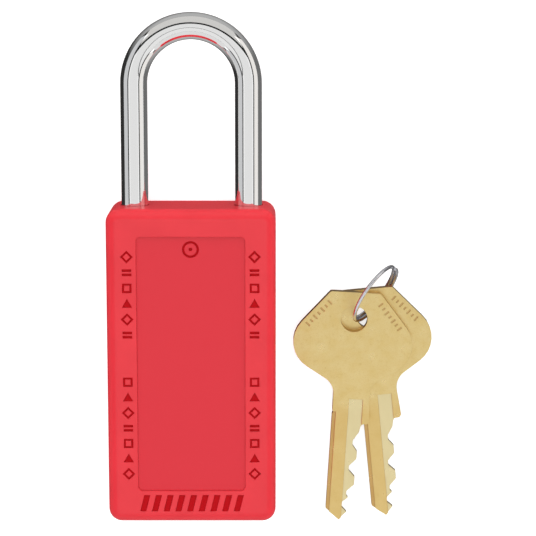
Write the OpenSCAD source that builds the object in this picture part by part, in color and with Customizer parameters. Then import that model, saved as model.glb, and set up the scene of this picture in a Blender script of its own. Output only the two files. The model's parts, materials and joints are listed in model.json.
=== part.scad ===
// Keyed safety padlock: a moulded case round a metal core, a round steel shackle
// held by two locking bolts, a six-pin cylinder, and two keys on a wire ring.
// The lock lies on its back. X is its width, +Y points to the shackle and +Z
// out of the front face. The origin is the centre of the back face. Millimetres.

/* [Shackle] */
// Diameter of the shackle's rod
shackle_d = 6.35; // [5:0.05:9]
// Clear width between the two legs
shackle_gap = 20.55; // [20:0.05:32]
// Clear height from the case to the top of the bow
shackle_clear = 38.9; // [25:0.1:75]
// How far the shackle rises when the lock opens
shackle_lift = 15; // [14:0.5:17]
// Length of the heel leg below the top of the case
heel_depth = 42.5; // [42.5:0.5:46]

/* [Case] */
// Height of the case
case_h = 75.1; // [70:0.1:100]
// Thickness of the case from back to front
case_t = 20; // [20:0.2:28]
// Radius along the front and back edges of the case
case_edge = 2.6; // [1.5:0.1:4]
// Radius of the case's four corners, seen from the front
case_corner = 3.2; // [1.5:0.1:5]
// Thickness of the side, back and front walls
case_wall = 2; // [1.6:0.1:2.4]
// Thickness of the wall round the legs at the top
top_wall = 3; // [2.4:0.1:4]
// Thickness of the cover that closes the bottom
cover_t = 3; // [2.4:0.1:4]

/* [Label recess and marks] */
// Width of the shallow recess in the front
label_w = 25.4; // [20:0.2:26]
// Height of the recess
label_h = 60.9; // [40:0.1:61]
// Distance from the top of the case to the recess
label_drop = 6.3; // [4.5:0.1:7]
// Depth of the recess
label_depth = 0.5; // [0.3:0.1:0.8]
// Depth of the engraved marks
mark_depth = 0.3; // [0.15:0.05:0.6]

/* [Locking parts] */
// Diameter of the nose of each locking bolt
bolt_d = 5; // [4.4:0.1:5.4]
// How deep a bolt sits in its notch when locked
bolt_engage = 1.3; // [1:0.1:1.5]
// How far a bolt slides when the lock opens
bolt_travel = 4.1; // [3.9:0.1:4.3]
// Distance from the cam's axis to a bolt's inner nose centre when locked
cam_pitch = 8.4; // [8:0.1:8.6]
// Radius of the cam's two lobes
cam_r = 6.5; // [6:0.1:6.6]
// Diameter of the spindle that turns the cam
spindle_d = 4.8; // [4:0.2:5.6]
// Height of the metal core below the top wall
core_h = 21; // [18:0.5:22]

/* [Cylinder] */
// Diameter of the plug
plug_d = 12; // [11:0.1:12.8]
// Length of the plug
plug_len = 25; // [25:0.5:30]
// Distance between neighbouring pins
pin_pitch = 3.1; // [3:0.05:3.15]
// Distance from the plug's face to the first pin
first_pin = 4.8; // [4.6:0.1:6]
// Diameter of every pin
pin_d = 2.2; // [1.8:0.1:2.3]

/* [Keys] */
// Thickness of a key
key_t = 1.9; // [1.6:0.1:2.2]
// Width of a key's blade
blade_w = 6.75; // [6:0.05:7]
// Radius of the hole in a key's bow
key_hole_r = 3.2; // [2.8:0.1:3.6]
// Gap between the case and the nearer key
keys_gap = 5; // [4:0.2:40]

/* [Key ring] */
// Diameter of the ring's wire
wire_d = 0.9; // [0.6:0.1:1]
// Radius of the ring to the middle of its wire
ring_r = 7.7; // [7:0.1:8]
// Angle by which the standing ring leans over
ring_lean = 23; // [10:1:30]

/* [Hidden] */
$fn = 48;

// Colours
red = [0.86, 0.22, 0.25];
steel = [0.80, 0.81, 0.82];
zinc = [0.62, 0.63, 0.66];
brass = [0.85, 0.71, 0.42];
nylon = [0.92, 0.91, 0.86];

// Clearances
run_gap = 0.05;      // radial, between a shaft and its bore
fit_gap = 0.25;      // between the core parts and the inside of the case
shear_gap = 0.03;    // between the pins and the two sides of the shear line
leg_wall = 1;        // thinnest wall of the core outside a leg

// Case
leg_r = shackle_d / 2;
leg_x = shackle_gap / 2 + leg_r;
case_w = 2 * (leg_x + leg_r + leg_wall + fit_gap + case_wall);
top_y = case_h / 2;
bottom_y = -case_h / 2;
mid_z = case_t / 2;
cavity_w = case_w - 2 * case_wall;
cavity_t = case_t - 2 * case_wall;
cavity_r = 0.5;
inner_w = cavity_w - 2 * fit_gap;
inner_t = cavity_t - 2 * fit_gap;
floor_y = bottom_y + cover_t;

// Shackle: depths are measured down from the top of the case
bow_y = top_y + shackle_clear - shackle_gap / 2;
toe_gap = 0.5;
toe_depth = shackle_lift - toe_gap;
ramp_h = shackle_lift * bolt_engage / bolt_travel;
toe_margin = 1.9;
notch_y = top_y - toe_depth + toe_margin + ramp_h;
leg_chamfer = 0.8;
core_bottom_y = top_y - top_wall - core_h;
retainer_t = 1.2;
retainer_bite = 0.8;
retainer_y = core_bottom_y - shackle_lift - 0.1 - retainer_t;
bush_t = 0.6;
bush_inset = 0.8;

// Locking bolts and cam
nose_r = bolt_d / 2;
nose_in_x = cam_pitch;
nose_out_x = shackle_gap / 2 + bolt_engage - nose_r;
notch_gap = 0.06;
cam_gap = 0.03;
cam_half = nose_r + 0.5;
cam_room = 0.3;
spindle_r = spindle_d / 2;
tip_r = 1.4;
tip_len = 1.2;

// Cylinder: the plug's face lies just inside the cover's face
plug_r = plug_d / 2;
plug_y0 = bottom_y + 0.4;
plug_y1 = plug_y0 + plug_len;
nose_step = 0.5;
housing_top_y = plug_y1;
housing_x0 = -inner_w / 2 + 1;
housing_x1 = plug_r + 2.2;
chamber_r = pin_d / 2 + run_gap;
pin_y = [for (i = [0:5]) plug_y0 + first_pin + i * pin_pitch];
pin_cuts = [1.2, 0.05, 1.7, 0.15, 1.9, 2.85];
keyway_x0 = -3.15;
keyway_w = blade_w + 0.2;
keyway_t = key_t + 0.2;
driver_len = 4;
foot_h = 9;
foot_top_y = floor_y + foot_h;
tail_r = 3.3;
tail_len = 3.4;
clip_y = plug_y1 + 0.1;
clip_t = 0.8;
clip_groove = 0.5;
tongue_w = 1.8;
tongue_l = 4.6;
tongue_h = 2;
seat_t = 2;

// Springs
spring_wire_r = 0.35;
pin_wire_r = 0.16;

// Keys and ring. A key is drawn with its hole at the origin and its blade
// towards -Y. Key b lies with its bow on the ring's wire and its tip on the
// ground; key a lies flat on b.
key_stop = -26.2;
key_tip = -50.9;
bow_half = 13.9;
keys_rise = 2.4;
keys_tilt = asin(keys_rise / -key_tip);
stack_gap = 0.06;
key_a_shift = -3.9;
key_a_spin = -9;
key_b_turn = 5.7;
key_b_at = [case_w / 2 + keys_gap + bow_half - key_a_shift, 9.8, keys_rise];
ring_heading = 55.5;   // of the ring's plane, from +X
ring_at = [key_b_at[0] + 0.5, key_b_at[1] + 6.2, wire_d / 2 + ring_r * cos(ring_lean)];
ring_turns = 1.5;
ring_pitch = wire_d + 0.04;

// ---------------------------------------------------------------- helpers

// Cylinder along +Y from y0 to y1
module rod_y(r, y0, y1, x = 0, z = mid_z) {
    translate([x, y0, z]) rotate([-90, 0, 0]) cylinder(r = r, h = y1 - y0);
}

// Cylinder along +X from x0 to x1
module rod_x(r, x0, x1, y = 0, z = mid_z) {
    translate([x0, y, z]) rotate([0, 90, 0]) cylinder(r = r, h = x1 - x0);
}

// Box given by its two opposite corners
module block(low, high) {
    translate(low) cube(high - low);
}

// Flat rounded rectangle centred on the origin
module rounded_rect(w, h, r) {
    square([w - 2 * r, h], center = true);
    square([w, h - 2 * r], center = true);
    for (x = [-1, 1], y = [-1, 1])
        translate([x * (w / 2 - r), y * (h / 2 - r)]) circle(r);
}

// Box with rounded corners and rounded front and back edges, centred on the origin
module rounded_box(w, h, t, corner, fillet, steps = 8) {
    edge = min(fillet, corner);
    arc = [for (i = [0:steps]) 90 * i / steps];
    profile = concat([[0, -t / 2]],
        [for (a = arc) [corner - edge + edge * sin(a), -t / 2 + edge - edge * cos(a)]],
        [for (a = arc) [corner - edge + edge * cos(a), t / 2 - edge + edge * sin(a)]],
        [[0, t / 2]]);
    hull() for (x = [-1, 1], y = [-1, 1])
        translate([x * (w / 2 - corner), y * (h / 2 - corner)])
            rotate_extrude($fn = 4 * steps) polygon(profile);
}

function unit(v) = v / norm(v);

// Points of one rounded corner b between its neighbours a and c; b[2] is the radius
function corner_arc(a, b, c, steps = 8) =
    let (p = [b[0], b[1]], u = unit([a[0], a[1]] - p), v = unit([c[0], c[1]] - p),
         half = acos(u * v) / 2, o = p + unit(u + v) * b[2] / sin(half),
         s = p + u * b[2] / tan(half) - o, e = p + v * b[2] / tan(half) - o,
         a0 = atan2(s[1], s[0]), turn = atan2(s[0] * e[1] - s[1] * e[0], s * e))
    b[2] == 0 ? [p]
    : [for (i = [0:steps]) o + b[2] * [cos(a0 + turn * i / steps), sin(a0 + turn * i / steps)]];

// Outline with rounded corners from a list of [x, y, radius]
function rounded_outline(c) =
    let (n = len(c))
    [for (i = [0:n - 1]) each corner_arc(c[(i + n - 1) % n], c[i], c[(i + 1) % n])];

// Tube of wire along a helix round +Z: turns, rise over all turns, sides of the wire
module coil(r, wire_r, turns, rise, per_turn = 14, sides = 6) {
    rings = ceil(turns * per_turn);
    pitch_angle = atan2(rise / turns, 2 * PI * r);
    pts = [for (i = [0:rings]) let (a = 360 * turns * i / rings)
        for (j = [0:sides - 1]) let (b = 360 * j / sides, up = wire_r * sin(b))
            [(r + wire_r * cos(b)) * cos(a) + up * sin(pitch_angle) * sin(a),
             (r + wire_r * cos(b)) * sin(a) - up * sin(pitch_angle) * cos(a),
             rise * i / rings + up * cos(pitch_angle)]];
    skin = [for (i = [0:rings - 1], j = [0:sides - 1])
        let (k = (j + 1) % sides, p = i * sides, q = p + sides)
            each [[p + j, q + k, q + j], [p + j, p + k, q + k]]];
    ends = [[for (j = [sides - 1:-1:0]) j], [for (j = [0:sides - 1]) rings * sides + j]];
    polyhedron(points = pts, faces = concat(skin, ends));
}

// ---------------------------------------------------------------- case

// Outline of one of the four engraved marks
module mark(kind) {
    if (kind == 0) difference() {
        rotate(45) square(2.1, center = true);
        rotate(45) square(1.2, center = true);
    }
    if (kind == 1) for (y = [-0.8, 0.2]) translate([-1.1, y]) square([2.2, 0.6]);
    if (kind == 2) difference() {
        square([2.2, 2.2], center = true);
        square([1.3, 1.3], center = true);
    }
    if (kind == 3) polygon([[-1.2, -0.9], [1.2, -0.9], [0, 1.2]]);
}

mark_x = 14.9;
mark_pitch = 3.7;
band_w = 25;
band_h = 4;
band_bars = 9;

// The two columns of marks and the band of slanted bars under the recess
module engraving() {
    for (side = [-1, 1]) {
        for (i = [0:5]) translate([side * mark_x, top_y - 11 - i * mark_pitch]) mark(i % 4);
        for (i = [0:6]) translate([side * mark_x, bottom_y + 34.3 - i * mark_pitch]) mark((i + 2) % 4);
    }
    step = band_w / band_bars;
    for (i = [0:band_bars - 1])
        translate([(i - (band_bars - 1) / 2) * step, bottom_y + 4.9])
            polygon([[-1.2, -band_h / 2], [0.2, -band_h / 2], [1.2, band_h / 2], [-0.2, band_h / 2]]);
}

gate_drop = 9.3;
gate_r = 1.95;
gate_groove = 0.5;

// The ring-shaped moulding mark at the top of the recess
module gate_mark(z) {
    translate([0, top_y - gate_drop, z]) {
        translate([0, 0, -0.35]) difference() {
            cylinder(r = gate_r, h = 1);
            translate([0, 0, -1]) cylinder(r = gate_r - gate_groove, h = 3);
        }
        translate([0, 0, -0.35]) cylinder(r = 0.4, h = 1);
    }
}

module case() {
    label_z = case_t - label_depth;
    color(red) difference() {
        translate([0, 0, mid_z]) rounded_box(case_w, case_h, case_t, case_corner, case_edge);
        translate([0, bottom_y - 1, mid_z]) rotate([-90, 0, 0])
            linear_extrude(case_h - top_wall + 1) rounded_rect(cavity_w, cavity_t, cavity_r);
        for (x = [-leg_x, leg_x]) {
            rod_y(leg_r + 0.2, top_y - top_wall - 1, top_y + 1, x);
            rod_y(leg_r + bush_t, top_y - top_wall - 1, top_y - bush_inset, x);
        }
        translate([0, top_y - label_drop - label_h / 2, label_z]) linear_extrude(5)
            rounded_rect(label_w, label_h, 1.1);
        translate([0, 0, case_t - mark_depth]) linear_extrude(5) engraving();
        gate_mark(label_z);
    }
}

rivet_x = leg_x;
rivet_z = 4.6;
rivet_r = 1;
rivet_spots = [[-rivet_x, mid_z - rivet_z], [-rivet_x, mid_z + rivet_z], [rivet_x, mid_z]];

cover_inset = 0.4;

module bottom_cover() {
    color(red) difference() {
        translate([0, bottom_y + cover_inset, mid_z]) rotate([-90, 0, 0])
            linear_extrude(cover_t - cover_inset) rounded_rect(cavity_w, cavity_t, cavity_r);
        rod_y(plug_r - nose_step + run_gap, bottom_y - 1, floor_y + 1);
        for (p = rivet_spots) {
            rod_y(rivet_r, bottom_y - 1, floor_y + 1, p[0], p[1]);
            rod_y(1.8, bottom_y - 1, bottom_y + 1, p[0], p[1]);
        }
    }
}

module cover_rivets() {
    color(steel) for (p = rivet_spots) {
        rod_y(rivet_r, bottom_y + 1, floor_y + 5, p[0], p[1]);
        rod_y(1.75, bottom_y + 0.3, bottom_y + 1, p[0], p[1]);
    }
}

module leg_bush(x) {
    color(nylon) difference() {
        rod_y(leg_r + bush_t, top_y - top_wall, top_y - bush_inset, x);
        rod_y(leg_r + run_gap, top_y - top_wall - 1, top_y, x);
    }
}

// ---------------------------------------------------------------- shackle and its spring

// Space that a locking bolt's nose sweeps in the left or right leg as both move
module notch(side) {
    out = nose_out_x;
    run = bolt_engage + 0.6;
    drop = run * shackle_lift / bolt_travel;
    reach = norm([run, drop]);
    r = nose_r + notch_gap;
    mirror([side < 0 ? 1 : 0, 0, 0]) translate([out, notch_y, mid_z - 10]) linear_extrude(20) {
        circle(r);
        translate([-run, -drop]) circle(r);
        rotate(atan2(-drop, -run)) translate([0, -r]) square([reach, 2 * r]);
    }
}

// One leg with a chamfered end
module leg(x, end_y) {
    rod_y(leg_r, end_y + leg_chamfer, bow_y, x);
    translate([x, end_y, mid_z]) rotate([-90, 0, 0])
        cylinder(r1 = leg_r - leg_chamfer, r2 = leg_r, h = leg_chamfer);
}

module shackle() {
    color(steel) difference() {
        union() {
            translate([0, bow_y, mid_z]) rotate_extrude(angle = 180) translate([leg_x, 0]) circle(leg_r);
            leg(-leg_x, top_y - toe_depth);
            leg(leg_x, top_y - heel_depth);
        }
        notch(-1);
        notch(1);
        difference() {
            rod_y(leg_r + 1, retainer_y, retainer_y + retainer_t, leg_x);
            rod_y(leg_r - retainer_bite, retainer_y - 1, retainer_y + retainer_t + 1, leg_x);
        }
    }
}

module heel_retaining_ring() {
    color(steel) translate([leg_x, retainer_y, mid_z]) rotate([-90, 0, 0])
        rotate([0, 0, 25]) rotate_extrude(angle = 310)
            translate([leg_r - retainer_bite + 0.02, 0]) square([leg_wall + retainer_bite - 0.02, retainer_t]);
}

module spring_seat() {
    color(nylon) {
        rod_y(leg_r, foot_top_y, foot_top_y + seat_t, leg_x);
        rod_y(leg_r - 1.6, foot_top_y, foot_top_y + seat_t + 5, leg_x);
    }
}

module shackle_spring() {
    low = foot_top_y + seat_t + spring_wire_r;
    high = top_y - heel_depth - spring_wire_r;
    color(steel) translate([leg_x, low, mid_z]) rotate([-90, 0, 0])
        coil(leg_r - spring_wire_r - 0.2, spring_wire_r, 9, high - low, 14, 6);
}

// ---------------------------------------------------------------- locking parts

module locking_bolt(side) {
    color(steel) mirror([side < 0 ? 1 : 0, 0, 0]) {
        translate([nose_in_x, notch_y, mid_z]) sphere(nose_r);
        translate([nose_out_x, notch_y, mid_z]) sphere(nose_r);
        rod_x(nose_r, nose_in_x, nose_out_x, notch_y);
    }
}

// Centre of a bolt's inner nose, seen from the cam after it has turned by a,
// and the point of the cam that carries the nose there
function pitch_point(a) = (cam_pitch - bolt_travel * a / 90) * [cos(a), sin(a)];
function cam_point(a) =
    let (r = cam_pitch - bolt_travel * a / 90, slope = -bolt_travel / (PI / 2),
         tangent = unit([slope * cos(a) - r * sin(a), slope * sin(a) + r * cos(a)]))
    pitch_point(a) + (nose_r + cam_gap) * [-tangent[1], tangent[0]];

// Two-lobed cam outline: what is left of a disc after the noses have swept past it
module cam_outline() {
    far = 2 * cam_pitch;
    difference() {
        circle(cam_r);
        for (half = [0, 180]) rotate(half) {
            polygon(concat([for (a = [0:5:90]) cam_point(a)],
                           [for (a = [90:-15:0]) far * [cos(a), sin(a)]]));
            translate(pitch_point(0)) circle(nose_r + cam_gap);
            translate(pitch_point(90)) circle(nose_r + cam_gap);
            rotate(90) translate([cam_pitch - bolt_travel, -nose_r - cam_gap])
                square([far, 2 * (nose_r + cam_gap)]);
        }
    }
}

module cam_spindle() {
    cam_y0 = notch_y - cam_half;
    cam_y1 = notch_y + cam_half;
    color(steel) {
        translate([0, cam_y1, mid_z]) rotate([90, 0, 0]) linear_extrude(2 * cam_half) cam_outline();
        rod_y(tip_r, cam_y1, cam_y1 + tip_len);
        rod_y(spindle_r, plug_y1 + tail_len, cam_y0);
        block([-tongue_l / 2, plug_y1 + tail_len - tongue_h, mid_z - tongue_w / 2],
              [tongue_l / 2, plug_y1 + tail_len, mid_z + tongue_w / 2]);
    }
}

core_bush_gap = 0.4;

module core_frame() {
    core_top_y = top_y - top_wall;
    cam_bore_r = cam_r + cam_room;
    color(zinc) difference() {
        block([-inner_w / 2, core_bottom_y, mid_z - inner_t / 2],
              [inner_w / 2, core_top_y, mid_z + inner_t / 2]);
        for (x = [-leg_x, leg_x]) rod_y(leg_r + run_gap, core_bottom_y - 1, core_top_y + 1, x);
        rod_x(nose_r + run_gap, -leg_x, leg_x, notch_y);
        rod_y(cam_bore_r, core_bottom_y - 1, notch_y + cam_half + cam_room);
        rod_y(tip_r + run_gap, notch_y, notch_y + cam_half + tip_len + cam_room);
    }
}

module spindle_bush() {
    color(brass) difference() {
        rod_y(cam_r + cam_room, core_bottom_y, notch_y - cam_half - core_bush_gap);
        rod_y(spindle_r + run_gap, core_bottom_y - 1, notch_y);
    }
}

sleeve_land = 0.6;   // least width of the sleeve's seat on the housing, round the plug's bore

module spacer_sleeve() {
    sleeve_r = max(cam_r + cam_room, plug_r + run_gap + sleeve_land);
    color(zinc) difference() {
        rod_y(sleeve_r, housing_top_y, core_bottom_y);
        rod_y(cam_r - 1, housing_top_y - 1, core_bottom_y + 1);
    }
}

// ---------------------------------------------------------------- cylinder

module cylinder_housing() {
    foot_x1 = inner_w / 2;
    color(zinc) difference() {
        union() {
            block([housing_x0, floor_y, mid_z - inner_t / 2],
                  [housing_x1, housing_top_y, mid_z + inner_t / 2]);
            block([housing_x1, floor_y, mid_z - inner_t / 2],
                  [foot_x1, foot_top_y, mid_z + inner_t / 2]);
        }
        rod_y(plug_r + run_gap, floor_y - 1, housing_top_y + 1);
        for (y = pin_y) rod_x(chamber_r, housing_x0 - 1, -plug_r / 2, y);
        for (p = rivet_spots) rod_y(rivet_r, floor_y - 1, floor_y + 5, p[0], p[1]);
    }
}

module pin_cover() {
    color(zinc) block([-inner_w / 2, pin_y[0] - 2, mid_z - 2.6],
                      [housing_x0, pin_y[5] + 2, mid_z + 2.6]);
}

module plug() {
    seat_y = floor_y + 0.05;
    keyway_x1 = keyway_x0 + keyway_w;
    color(brass) difference() {
        union() {
            rod_y(plug_r - nose_step, plug_y0, seat_y);
            rod_y(plug_r, seat_y, plug_y1);
            rod_y(tail_r, plug_y1, plug_y1 + tail_len);
        }
        block([keyway_x0, plug_y0 - 1, mid_z - keyway_t / 2],
              [keyway_x1, plug_y1 - 0.8, mid_z + keyway_t / 2]);
        for (y = pin_y) rod_x(chamber_r, -plug_r - 1, keyway_x0 + max(pin_cuts) + 0.5, y);
        difference() {
            rod_y(tail_r + 1, clip_y, clip_y + clip_t);
            rod_y(tail_r - clip_groove, clip_y - 1, clip_y + clip_t + 1);
        }
        block([-tail_r - 1, plug_y1 + tail_len - tongue_h, mid_z - tongue_w / 2],
              [tail_r + 1, plug_y1 + tail_len + 1, mid_z + tongue_w / 2]);
    }
}

module plug_clip() {
    color(steel) translate([0, clip_y, mid_z]) rotate([-90, 0, 0]) rotate([0, 0, 30])
        rotate_extrude(angle = 300) translate([tail_r - clip_groove + 0.03, 0]) square([2.2, clip_t]);
}

// Key pin i: its outer end follows the plug's surface, its tip sits where the key's cut holds it
module key_pin(i) {
    tip_x = keyway_x0 + 0.1 + pin_cuts[i - 1];
    r = pin_d / 2;
    color(brass) intersection() {
        union() {
            rod_x(r, -plug_r - 1, tip_x - 0.6, pin_y[i - 1]);
            translate([tip_x - 0.6, pin_y[i - 1], mid_z]) rotate([0, 90, 0])
                cylinder(r1 = r, r2 = r - 0.6, h = 0.6);
        }
        rod_y(plug_r - shear_gap, plug_y0, plug_y1);
    }
}

driver_x0 = -plug_r - driver_len;

module driver_pin(i) {
    color(brass) difference() {
        rod_x(pin_d / 2, driver_x0, -plug_r / 2, pin_y[i - 1]);
        rod_y(plug_r + run_gap, plug_y0, plug_y1);
    }
}

module pin_spring(i) {
    low = housing_x0 + pin_wire_r;
    rise = driver_x0 - pin_wire_r - low;
    color(steel) translate([low, pin_y[i - 1], mid_z]) rotate([0, 90, 0])
        coil(pin_d / 2 - pin_wire_r - 0.05, pin_wire_r, 6, rise, 9, 5);
}

// ---------------------------------------------------------------- keys and ring

// One side of the bow, from the middle of its top down to the neck: x, y, radius
bow_top = [6.0, 6.6, 0.9];
bow_lobe = [18.15, -7.95, 7.3];
bow_neck = [3.85, -16.4, 4.6];
neck_right = 4.7;
spine = -3.8;
full_height = spine + blade_w;
shoulder_x = 5.5;
// Cuts of the blade from the shoulder to the tip
bitting = [[3.4, -27.0], [3.1, -28.5], [1.75, -30.6], [1.75, -31.8], [full_height, -33.4],
           [full_height, -35.3], [1.25, -37.1], [1.25, -38.3], [2.8, -39.9], [2.8, -41.9],
           [1.05, -43.6], [1.05, -44.7], [1.5, -45.3], [0.1, -46.5], [0.1, -47.8], [1.35, -49.0]];
spine_side = [[-0.45, key_tip], [spine, -48.2], [spine, -24.0], [spine + 0.3, -23.5], [spine, -23.0]];

module key_outline() {
    corners = concat(
        [bow_top, bow_lobe, [neck_right, bow_neck[1], bow_neck[2]], [shoulder_x, key_stop, 0.9],
         [3.9, key_stop, 0.3]],
        [for (p = concat(bitting, spine_side)) [p[0], p[1], 0]],
        [for (p = [bow_neck, bow_lobe, bow_top]) [-p[0], p[1], p[2]]]);
    polygon(rounded_outline(corners));
}

stamp_marks = 7;

// Row of small stamped bars along one shoulder of the bow
module stamps(side) {
    for (i = [0:stamp_marks - 1])
        translate([side * 8.6, 1.0, 0]) rotate(-side * 49) translate([(i - 3) * 1.25, 0, 0])
            cube([0.4, i % 2 == 0 ? 1.3 : 0.8, 0.3], center = true);
}

// The key lies with its lower face on z = 0
module key_blank() {
    low = key_tip - 1;
    color(brass) difference() {
        linear_extrude(key_t) key_outline();
        translate([0, 0, -1]) cylinder(r = key_hole_r, h = key_t + 2);
        block([0.1, low, key_t - 0.65], [3.5, -20, key_t + 1]);
        block([3.4, low, key_t - 0.65], [7, key_stop - 0.1, key_t + 1]);
        block([spine - 1, low, key_t - 0.45], [spine + 0.85, -23.3, key_t + 1]);
        block([-2.1, low, -1], [-0.6, -23.3, 0.5]);
        for (side = [-1, 1]) translate([0, 0, key_t]) stamps(side);
    }
}

// Lay something on the sloping plane that key b rests in
module laid() {
    translate(key_b_at) rotate([0, 0, key_b_turn]) rotate([keys_tilt, 0, 0]) children();
}

module key_a() {
    laid() translate([key_a_shift, 0, key_t + stack_gap]) rotate([0, 0, key_a_spin]) key_blank();
}

module key_b() {
    laid() key_blank();
}

// The ring stands on its lowest point and leans over; its doubled part is below
module key_ring() {
    color(steel) translate(ring_at) rotate([0, 0, ring_heading]) rotate([90 - ring_lean, 0, 0])
        rotate([0, 0, 180]) translate([0, 0, -ring_pitch / 4])
            coil(ring_r, wire_d / 2, ring_turns, ring_pitch * ring_turns, 40, 8);
}

// ---------------------------------------------------------------- nodes

case();
bottom_cover();
cover_rivets();
core_frame();
leg_bush(leg_x);  // heel_bush
leg_bush(-leg_x);  // toe_bush
shackle();
heel_retaining_ring();
shackle_spring();
spring_seat();
locking_bolt(-1);  // locking_bolt_left
locking_bolt(1);  // locking_bolt_right
cam_spindle();
spindle_bush();
spacer_sleeve();
cylinder_housing();
pin_cover();
plug();
plug_clip();
for (i = [1:6]) {
    key_pin(i);
    driver_pin(i);
    pin_spring(i);
}
key_a();
key_b();
key_ring();
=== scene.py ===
"""Looks for the keyed safety padlock: camera, soft studio, finishes, and a smooth wire ring."""

import json
import math

import bpy
from mathutils import Matrix, Vector


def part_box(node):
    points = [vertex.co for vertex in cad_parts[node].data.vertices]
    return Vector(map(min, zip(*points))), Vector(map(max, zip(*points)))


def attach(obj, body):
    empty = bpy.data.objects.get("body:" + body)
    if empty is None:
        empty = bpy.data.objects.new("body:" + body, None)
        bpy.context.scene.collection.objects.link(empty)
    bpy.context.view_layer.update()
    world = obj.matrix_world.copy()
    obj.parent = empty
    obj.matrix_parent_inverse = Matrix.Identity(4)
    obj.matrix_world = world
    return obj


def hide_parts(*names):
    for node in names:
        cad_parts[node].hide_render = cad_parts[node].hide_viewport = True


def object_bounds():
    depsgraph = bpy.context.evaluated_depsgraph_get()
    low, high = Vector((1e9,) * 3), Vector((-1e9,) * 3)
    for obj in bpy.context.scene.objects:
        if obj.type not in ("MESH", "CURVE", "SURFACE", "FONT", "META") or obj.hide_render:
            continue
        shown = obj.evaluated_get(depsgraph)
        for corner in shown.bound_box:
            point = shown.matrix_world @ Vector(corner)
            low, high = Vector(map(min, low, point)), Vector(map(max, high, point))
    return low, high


MM = 0.001
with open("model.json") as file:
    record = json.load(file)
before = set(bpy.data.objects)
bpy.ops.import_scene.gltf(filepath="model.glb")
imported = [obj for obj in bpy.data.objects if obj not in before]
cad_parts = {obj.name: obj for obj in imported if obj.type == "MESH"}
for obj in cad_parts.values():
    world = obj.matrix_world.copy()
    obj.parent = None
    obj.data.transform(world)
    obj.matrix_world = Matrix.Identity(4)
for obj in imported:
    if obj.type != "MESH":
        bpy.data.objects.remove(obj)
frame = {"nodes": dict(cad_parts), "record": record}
nodes = frame["nodes"]
cad_box = [list(corner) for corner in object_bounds()]
case_low, case_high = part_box("case")
case_mid = (case_low + case_high) / 2
FRONT = case_high.z
EDGE = 2.7 * MM                      # reach of the case's rounded edges
RECESS_DEPTH, MARK_DEPTH, GATE_DEPTH = 0.5 * MM, 0.3 * MM, 0.85 * MM


# ---------------------------------------------------------------- camera

CAMERA_DISTANCE = 460 * MM
CAMERA_LEAN = math.radians(9.3)      # towards the shackle, from straight above
CAMERA_AIM = case_mid + Vector((18.04, 22.3, 0)) * MM
LENS = 129.8                         # on a 36 mm sensor


def make_camera():
    data = bpy.data.cameras.new("camera")
    data.lens = LENS
    data.sensor_width = 36
    data.clip_start = 0.01
    data.clip_end = 20
    camera = bpy.data.objects.new("camera", data)
    back = Vector((0, math.sin(CAMERA_LEAN), math.cos(CAMERA_LEAN)))
    camera.location = CAMERA_AIM + back * CAMERA_DISTANCE
    camera.rotation_euler = (-CAMERA_LEAN, 0, 0)
    bpy.context.scene.collection.objects.link(camera)
    bpy.context.scene.camera = camera


# ---------------------------------------------------------------- node helpers

class Finish:
    """A Principled material and short ways to add nodes to it."""

    def __init__(self, name, color, roughness, metallic=0.0):
        self.material = bpy.data.materials.new(name)
        self.material.use_nodes = True
        self.tree = self.material.node_tree
        self.shader = self.tree.nodes["Principled BSDF"]
        self.set("Base Color", (*color, 1))
        self.set("Roughness", roughness)
        self.set("Metallic", metallic)

    def set(self, socket, value):
        self.shader.inputs[socket].default_value = value

    def node(self, kind, **inputs):
        made = self.tree.nodes.new(kind)
        for name, value in inputs.items():
            self.feed(made.inputs[name.replace("_", " ")], value)
        return made

    def feed(self, socket, value):
        if isinstance(value, bpy.types.NodeSocket):
            self.tree.links.new(value, socket)
        else:
            socket.default_value = value

    def place(self):
        """Object coordinates, which are metres in the part's frame."""
        return self.node("ShaderNodeTexCoord").outputs["Object"]

    def noise(self, size, detail=3.0, roughness=0.5, stretch=(1, 1, 1), turn=(0, 0, 0)):
        """Noise whose spots are about size metres across, from 0 to 1."""
        mapping = self.node("ShaderNodeMapping", Vector=self.place(), Scale=stretch, Rotation=turn)
        return self.node("ShaderNodeTexNoise", Vector=mapping.outputs[0], Scale=1 / size,
                         Detail=detail, Roughness=roughness).outputs["Fac"]

    def range(self, value, low, high, to_low, to_high):
        made = self.node("ShaderNodeMapRange", Value=value, From_Min=low, From_Max=high,
                         To_Min=to_low, To_Max=to_high)
        return made.outputs[0]

    def math(self, operation, a, b=0.0):
        made = self.tree.nodes.new("ShaderNodeMath")
        made.operation = operation
        self.feed(made.inputs[0], a)
        self.feed(made.inputs[1], b)
        return made.outputs[0]

    def mix(self, factor, a, b):
        made = self.tree.nodes.new("ShaderNodeMix")
        made.data_type = "RGBA"
        self.feed(made.inputs[0], factor)
        self.feed(made.inputs[6], a if isinstance(a, bpy.types.NodeSocket) else (*a, 1))
        self.feed(made.inputs[7], b if isinstance(b, bpy.types.NodeSocket) else (*b, 1))
        return made.outputs[2]

    def bump(self, height, depth, soft_edge=0.0):
        """Bump of depth metres as height goes from 0 to 1, its edges softened by soft_edge metres."""
        made = self.node("ShaderNodeBump", Height=height, Distance=depth)
        if soft_edge:
            edge = self.tree.nodes.new("ShaderNodeBevel")
            edge.samples = 6
            edge.inputs["Radius"].default_value = soft_edge
            self.feed(made.inputs["Normal"], edge.outputs[0])
        self.feed(self.shader.inputs["Normal"], made.outputs[0])

    def within(self, value, low, high):
        above = self.math("GREATER_THAN", value, low)
        below = self.math("LESS_THAN", value, high)
        return self.math("MULTIPLY", above, below)


def paint(finish, *names):
    for name in names:
        slots = nodes[name].data.materials
        slots.clear()
        slots.append(finish.material)


# ---------------------------------------------------------------- stage

FLOOR_RADIUS = 5.0


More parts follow.
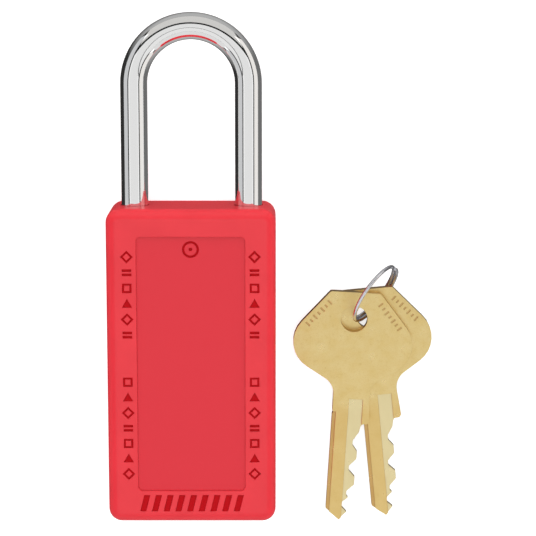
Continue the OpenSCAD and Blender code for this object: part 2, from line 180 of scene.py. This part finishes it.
def emission(name, color, strength):
    material = bpy.data.materials.new(name)
    material.use_nodes = True
    tree = material.node_tree
    tree.nodes.clear()
    glow = tree.nodes.new("ShaderNodeEmission")
    glow.inputs["Color"].default_value = (*color, 1)
    glow.inputs["Strength"].default_value = strength
    out = tree.nodes.new("ShaderNodeOutputMaterial")
    tree.links.new(glow.outputs[0], out.inputs[0])
    return material


def make_floor():
    bpy.ops.mesh.primitive_circle_add(vertices=96, radius=FLOOR_RADIUS, fill_type="NGON")
    floor = bpy.context.object
    floor.name = "floor"
    floor.location.z = cad_box[0][2] - 0.02 * MM
    finish = Finish("floor_white", (0.62, 0.62, 0.62), 0.9)
    finish.set("Specular IOR Level", 0.0)
    finish.set("Emission Color", (1, 1, 1, 1))
    finish.set("Emission Strength", 0.72)
    floor.data.materials.append(finish.material)
    floor.visible_glossy = False


def make_dome():
    bpy.ops.mesh.primitive_uv_sphere_add(segments=48, ring_count=24, radius=FLOOR_RADIUS)
    dome = bpy.context.object
    dome.name = "dome"
    dome.data.materials.append(emission("dome_white", (1, 1, 1), 0.92))
    dome.visible_glossy = False
    dome.visible_diffuse = False
    dome.visible_transmission = False
    dome.visible_shadow = False


ROOM_UP, ROOM_LEFT, ROOM_RIGHT, ROOM_ENDS = 0.02, 0.03, 0.16, 0.45


def make_world():
    """A dark room: what the polished parts show between and below the softboxes."""
    world = bpy.data.worlds.new("studio")
    bpy.context.scene.world = world
    world.use_nodes = True
    tree = world.node_tree
    direction = tree.nodes.new("ShaderNodeSeparateXYZ")
    tree.links.new(tree.nodes.new("ShaderNodeTexCoord").outputs["Generated"], direction.inputs[0])

    def step(value, low, high, to_low, to_high):
        made = tree.nodes.new("ShaderNodeMapRange")
        tree.links.new(value, made.inputs["Value"])
        for name, number in (("From Min", low), ("From Max", high)):
            made.inputs[name].default_value = number
        for name, number in (("To Min", to_low), ("To Max", to_high)):
            if isinstance(number, bpy.types.NodeSocket):
                tree.links.new(number, made.inputs[name])
            else:
                made.inputs[name].default_value = number
        return made.outputs[0]

    sides = step(direction.outputs["X"], -0.3, 0.3, ROOM_LEFT, ROOM_RIGHT)
    along = tree.nodes.new("ShaderNodeMath")
    along.operation = "ABSOLUTE"
    tree.links.new(direction.outputs["Y"], along.inputs[0])
    below = step(along.outputs[0], 0.3, 0.8, sides, ROOM_ENDS)
    light = step(direction.outputs["Z"], -0.04, 0.02, below, ROOM_UP)
    room = tree.nodes["Background"]
    room.inputs["Color"].default_value = (1, 1, 1, 1)
    tree.links.new(light, room.inputs["Strength"])


def softbox(name, width, height, radiance, color=(1, 1, 1)):
    """Rectangular light of this radiance that the camera doesn't see."""
    data = bpy.data.lights.new(name, "AREA")
    data.shape = "RECTANGLE"
    data.size = width
    data.size_y = height
    data.energy = radiance * math.pi * width * height
    data.color = color
    light = bpy.data.objects.new(name, data)
    light.visible_camera = False
    bpy.context.scene.collection.objects.link(light)
    return light


def panel(name, polar, around, distance, width, height, radiance, color=(1, 1, 1)):
    """Softbox facing the lock: polar is its angle from straight up, around its heading from +X."""
    light = softbox(name, width, height, radiance, color)
    turn = Matrix.Rotation(around, 4, "Z") @ Matrix.Rotation(polar, 4, "Y")
    light.matrix_world = Matrix.Translation(case_mid) @ turn @ Matrix.Translation((0, 0, distance))
    return light


def tile(name, x_low, x_high, y_low, y_high, radiance):
    """Part of the ceiling softbox; edges are degrees from straight up, as seen from the lock."""
    x_low, x_high, y_low, y_high = (CEILING * math.tan(math.radians(a))
                                    for a in (x_low, x_high, y_low, y_high))
    light = softbox(name, x_high - x_low, y_high - y_low, radiance)
    light.location = case_mid + Vector(((x_low + x_high) / 2, (y_low + y_high) / 2, CEILING))


FILL, FAR_FILL = 1.6, 1.7
CEILING = 0.9                        # metres above the lock
SIDE_DISTANCE = 1.3                  # metres from the lock
SIDE_WIDTH = 2.4


def side_panel(name, low, high, around, radiance, color=(1, 1, 1)):
    """Softbox from low to high degrees off straight up, at heading around."""
    low, high = math.radians(low), math.radians(high)
    tall = 2 * SIDE_DISTANCE * math.tan((high - low) / 2)
    panel(name, (low + high) / 2, around, SIDE_DISTANCE, tall, SIDE_WIDTH, radiance, color)


def make_lights():
    tile("ceiling_near", -43, 43, -43, -11, 0.80)
    tile("ceiling_mid", -33, 33, -8.5, 23, 0.77)
    tile("ceiling_left", -43, -33, -8.5, 23, 0.90)
    tile("ceiling_right", 33, 43, -8.5, 23, 0.90)
    side_panel("right", 52, 90, 0, 0.85, (1, 0.97, 0.94))
    side_panel("left", 52, 90, math.pi, 0.60, (0.97, 0.98, 1))
    side_panel("far", 34, 90, math.pi / 2, 0.62, (1, 0.985, 0.96))
    side_panel("near", 44, 90, -math.pi / 2, 0.74)
    fills = (panel("fill", 0, 0, 1.6, 1.6, 1.6, FILL),
             panel("far_fill", math.radians(70), math.pi / 2, 1.5, 1.2, 1.6, FAR_FILL))
    for light in fills:              # these light the plastic and don't show in the chrome
        light.visible_glossy = False


# ---------------------------------------------------------------- finishes

def red_plastic():
    light_red, deep_red = (0.76, 0.022, 0.036), (0.72, 0.019, 0.032)
    recess_red, mark_red = (0.67, 0.011, 0.026), (0.46, 0.001, 0.005)
    finish = Finish("red_plastic", light_red, 0.36)
    finish.set("IOR", 1.49)
    split = finish.node("ShaderNodeSeparateXYZ", Vector=finish.place()).outputs
    inside_x = finish.within(split["X"], case_low.x + EDGE, case_high.x - EDGE)
    inside_y = finish.within(split["Y"], case_low.y + EDGE, case_high.y - EDGE)
    flat = finish.math("MULTIPLY", inside_x, inside_y)

    def floor_at(depth):
        """1 on the floor of a cut this deep in the flat front, whose rounded edges are left out."""
        low, high = FRONT - depth - 0.06 * MM, FRONT - depth + 0.06 * MM
        return finish.math("MULTIPLY", flat, finish.within(split["Z"], low, high))

    recess, mark = floor_at(RECESS_DEPTH), floor_at(MARK_DEPTH)
    cloud = finish.noise(9 * MM, 4)
    base = finish.mix(finish.range(cloud, 0.35, 0.65, 0, 1), light_red, deep_red)
    base = finish.mix(recess, base, recess_red)
    sunk = finish.math("MAXIMUM", mark, floor_at(GATE_DEPTH))
    base = finish.mix(sunk, base, mark_red)
    finish.feed(finish.shader.inputs["Base Color"], base)
    finish.feed(finish.shader.inputs["Specular IOR Level"], finish.range(sunk, 0, 1, 0.38, 0.06))
    grain = finish.noise(0.16 * MM, 2)
    finish.feed(finish.shader.inputs["Roughness"], finish.range(grain, 0.3, 0.7, 0.32, 0.42))
    finish.bump(grain, 0.006 * MM, soft_edge=0.25 * MM)
    return finish


def chromed_steel():
    finish = Finish("chromed_steel", (0.93, 0.93, 0.925), 0.05, 1.0)
    wave = finish.noise(3 * MM, 2)
    finish.feed(finish.shader.inputs["Roughness"], finish.range(wave, 0.3, 0.7, 0.03, 0.075))
    finish.bump(wave, 0.002 * MM)
    return finish


KEY_T = 1.9 * MM
STACK_GAP = 0.06 * MM
KEY_RISE, KEY_REACH = 2.4, 50.9      # mm: the hole's height, and the hole to the tip
KEY_LEAN = math.asin(KEY_RISE / KEY_REACH)
KEY_B_TURN, KEY_A_TURN = math.radians(5.7), math.radians(-9)
KEY_A_SHIFT = -3.9 * MM              # along the lower key's own X
KEY_B_PLACE = (Matrix.Translation(Vector((case_high.x / MM + 22.8, 9.8, KEY_RISE)) * MM)
               @ Matrix.Rotation(KEY_B_TURN, 4, "Z") @ Matrix.Rotation(KEY_LEAN, 4, "X"))
KEY_A_PLACE = (KEY_B_PLACE @ Matrix.Translation((KEY_A_SHIFT, 0, KEY_T + STACK_GAP))
               @ Matrix.Rotation(KEY_A_TURN, 4, "Z"))


def key_brass(name, place):
    """Brass for one key, whose own frame has the hole at the origin and the blade towards -Y."""
    finish = Finish(name, (0.80, 0.60, 0.24), 0.33, 1.0)
    local = finish.node("ShaderNodeMapping", Vector=finish.place(), Location=place.translation,
                        Rotation=place.to_euler())
    local.vector_type = "TEXTURE"
    split = finish.node("ShaderNodeSeparateXYZ", Vector=local.outputs[0]).outputs
    cloud = finish.noise(3.2 * MM, 5, 0.6)
    spots = finish.noise(0.8 * MM, 4, 0.6)
    base = finish.mix(finish.range(cloud, 0.25, 0.75, 0, 1), (0.97, 0.77, 0.37), (0.92, 0.69, 0.27))
    base = finish.mix(finish.range(spots, 0.60, 0.74, 0, 0.35), base, (0.74, 0.51, 0.19))
    grain = finish.noise(0.22 * MM, 3, 0.7)
    base = finish.mix(finish.range(grain, 0.5, 0.72, 0, 0.5), base, (0.80, 0.56, 0.20))
    blade = finish.range(split["Y"], -24 * MM, -20 * MM, 1, 0)
    base = finish.mix(finish.math("MULTIPLY", blade, 0.6), base, (0.88, 0.61, 0.22))
    cut_down = finish.within(split["Z"], 0.7 * MM, KEY_T - 0.5 * MM)
    on_blade = finish.math("MULTIPLY", cut_down, finish.math("LESS_THAN", split["Y"], -19 * MM))
    milled = finish.math("MULTIPLY", on_blade, finish.math("GREATER_THAN", split["X"], 0.15 * MM))
    base = finish.mix(milled, base, (0.96, 0.82, 0.46))
    # painted shade: the key's side walls, except the milled cuts, are darkened towards brown to stand
    # in for shade and dark outlines along the key's edges
    painted_side_shade = finish.within(split["Z"], 0.05 * MM, KEY_T - 0.05 * MM)
    painted_side_shade = finish.math("MULTIPLY", painted_side_shade, finish.math("SUBTRACT", 1.0, milled))
    base = finish.mix(finish.math("MULTIPLY", painted_side_shade, 0.5), base, (0.58, 0.28, 0.09))
    finish.feed(finish.shader.inputs["Base Color"], base)
    finish.feed(finish.shader.inputs["Roughness"], finish.range(cloud, 0.3, 0.7, 0.26, 0.40))
    rolled = finish.noise(0.25 * MM, 3, 0.5, stretch=(1, 0.12, 1))
    finish.bump(rolled, 0.006 * MM, soft_edge=0.18 * MM)
    return finish


def ring_wire():
    finish = Finish("ring_wire", (0.80, 0.80, 0.84), 0.16, 1.0)
    drawn = finish.noise(0.3 * MM, 3)
    finish.feed(finish.shader.inputs["Roughness"], finish.range(drawn, 0.3, 0.7, 0.12, 0.24))
    finish.bump(drawn, 0.003 * MM)
    return finish


def zinc():
    finish = Finish("zinc", (0.55, 0.56, 0.59), 0.5, 0.9)
    cast = finish.noise(0.7 * MM, 5, 0.65)
    base = finish.mix(finish.range(cast, 0.35, 0.65, 0, 1), (0.50, 0.51, 0.54), (0.62, 0.63, 0.66))
    finish.feed(finish.shader.inputs["Base Color"], base)
    finish.feed(finish.shader.inputs["Roughness"], finish.range(cast, 0.3, 0.7, 0.42, 0.6))
    finish.bump(cast, 0.02 * MM)
    return finish


def turned_metal(name, light, dark, roughness):
    """Turned metal: fine rings across the part's long axis."""
    finish = Finish(name, light, roughness, 1.0)
    rings = finish.noise(0.12 * MM, 3, 0.5, stretch=(0.1, 1, 0.1))
    base = finish.mix(finish.range(finish.noise(1.5 * MM, 4), 0.35, 0.65, 0, 1), light, dark)
    finish.feed(finish.shader.inputs["Base Color"], base)
    finish.feed(finish.shader.inputs["Roughness"],
                finish.range(rings, 0.3, 0.7, roughness - 0.06, roughness + 0.08))
    finish.bump(rings, 0.006 * MM)
    return finish


def nylon():
    finish = Finish("nylon", (0.86, 0.84, 0.77), 0.45)
    finish.set("Subsurface Weight", 0.15)
    finish.set("Subsurface Radius", (1.2 * MM, 1.1 * MM, 0.9 * MM))
    grain = finish.noise(0.2 * MM, 3)
    base = finish.mix(finish.range(grain, 0.3, 0.7, 0, 1), (0.88, 0.86, 0.80), (0.82, 0.80, 0.73))
    finish.feed(finish.shader.inputs["Base Color"], base)
    finish.feed(finish.shader.inputs["Roughness"], finish.range(grain, 0.3, 0.7, 0.4, 0.52))
    finish.bump(grain, 0.006 * MM)
    return finish


FINISHES = {
    "red_plastic": red_plastic(),
    "chromed_steel": chromed_steel(),
    "key_brass": key_brass("key_brass_lower", KEY_B_PLACE),
    "ring_wire": ring_wire(),
    "zinc": zinc(),
    "steel": turned_metal("steel", (0.66, 0.67, 0.69), (0.58, 0.59, 0.61), 0.26),
    "pin_brass": turned_metal("pin_brass", (0.78, 0.60, 0.30), (0.70, 0.52, 0.24), 0.28),
    "nylon": nylon(),
}


def paint_all():
    for part in frame["record"]["subparts"]:
        paint(FINISHES[part["material_slot"]], part["node"])
    paint(key_brass("key_brass_upper", KEY_A_PLACE), "key_a")


# ---------------------------------------------------------------- key ring

WIRE_R = 0.45 * MM
RING_R = 7.7 * MM
RING_TURNS = 1.5
RING_PITCH = 0.94 * MM
RING_LEAN = math.radians(23)
RING_HEADING = math.radians(55.5)
RING_AT = Vector((case_high.x + 23.3 * MM, 16.0 * MM, WIRE_R + RING_R * math.cos(RING_LEAN)))


def make_ring():
    """The doubled wire of the ring as a smooth helix with rounded ends."""
    steps = 150
    points = []
    for i in range(steps + 1):
        angle = 2 * math.pi * RING_TURNS * i / steps
        points.append((RING_R * math.cos(angle), RING_R * math.sin(angle),
                       RING_PITCH * (RING_TURNS * i / steps - 0.25)))
    curve = bpy.data.curves.new("ring_wire_curve", "CURVE")
    curve.dimensions = "3D"
    curve.bevel_depth = WIRE_R
    curve.bevel_resolution = 5
    curve.use_fill_caps = True
    spline = curve.splines.new("POLY")
    spline.points.add(steps)
    for point, place in zip(spline.points, points):
        point.co = (*place, 1)
    for i, share in ((0, 0.72), (1, 1), (steps - 1, 1), (steps, 0.72)):
        spline.points[i].radius = share
    ring = bpy.data.objects.new("ring_wire", curve)
    bpy.context.scene.collection.objects.link(ring)
    turn = (Matrix.Rotation(RING_HEADING, 4, "Z") @ Matrix.Rotation(math.pi / 2 - RING_LEAN, 4, "X")
            @ Matrix.Rotation(math.pi, 4, "Z"))
    ring.matrix_world = Matrix.Translation(RING_AT) @ turn
    bpy.context.view_layer.update()
    mesh = bpy.data.meshes.new_from_object(ring.evaluated_get(bpy.context.evaluated_depsgraph_get()))
    mesh.transform(ring.matrix_world)
    bpy.data.objects.remove(ring)
    for face in mesh.polygons:
        face.use_smooth = True
    mesh.materials.clear()
    mesh.materials.append(FINISHES["ring_wire"].material)
    ring = bpy.data.objects.new("smooth_ring", mesh)
    bpy.context.scene.collection.objects.link(ring)
    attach(ring, "ring")
    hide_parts("key_ring")


# ---------------------------------------------------------------- whole scene

make_camera()
make_floor()
make_dome()
make_world()
make_lights()
paint_all()
make_ring()
bpy.context.scene.view_settings.view_transform = "Standard"
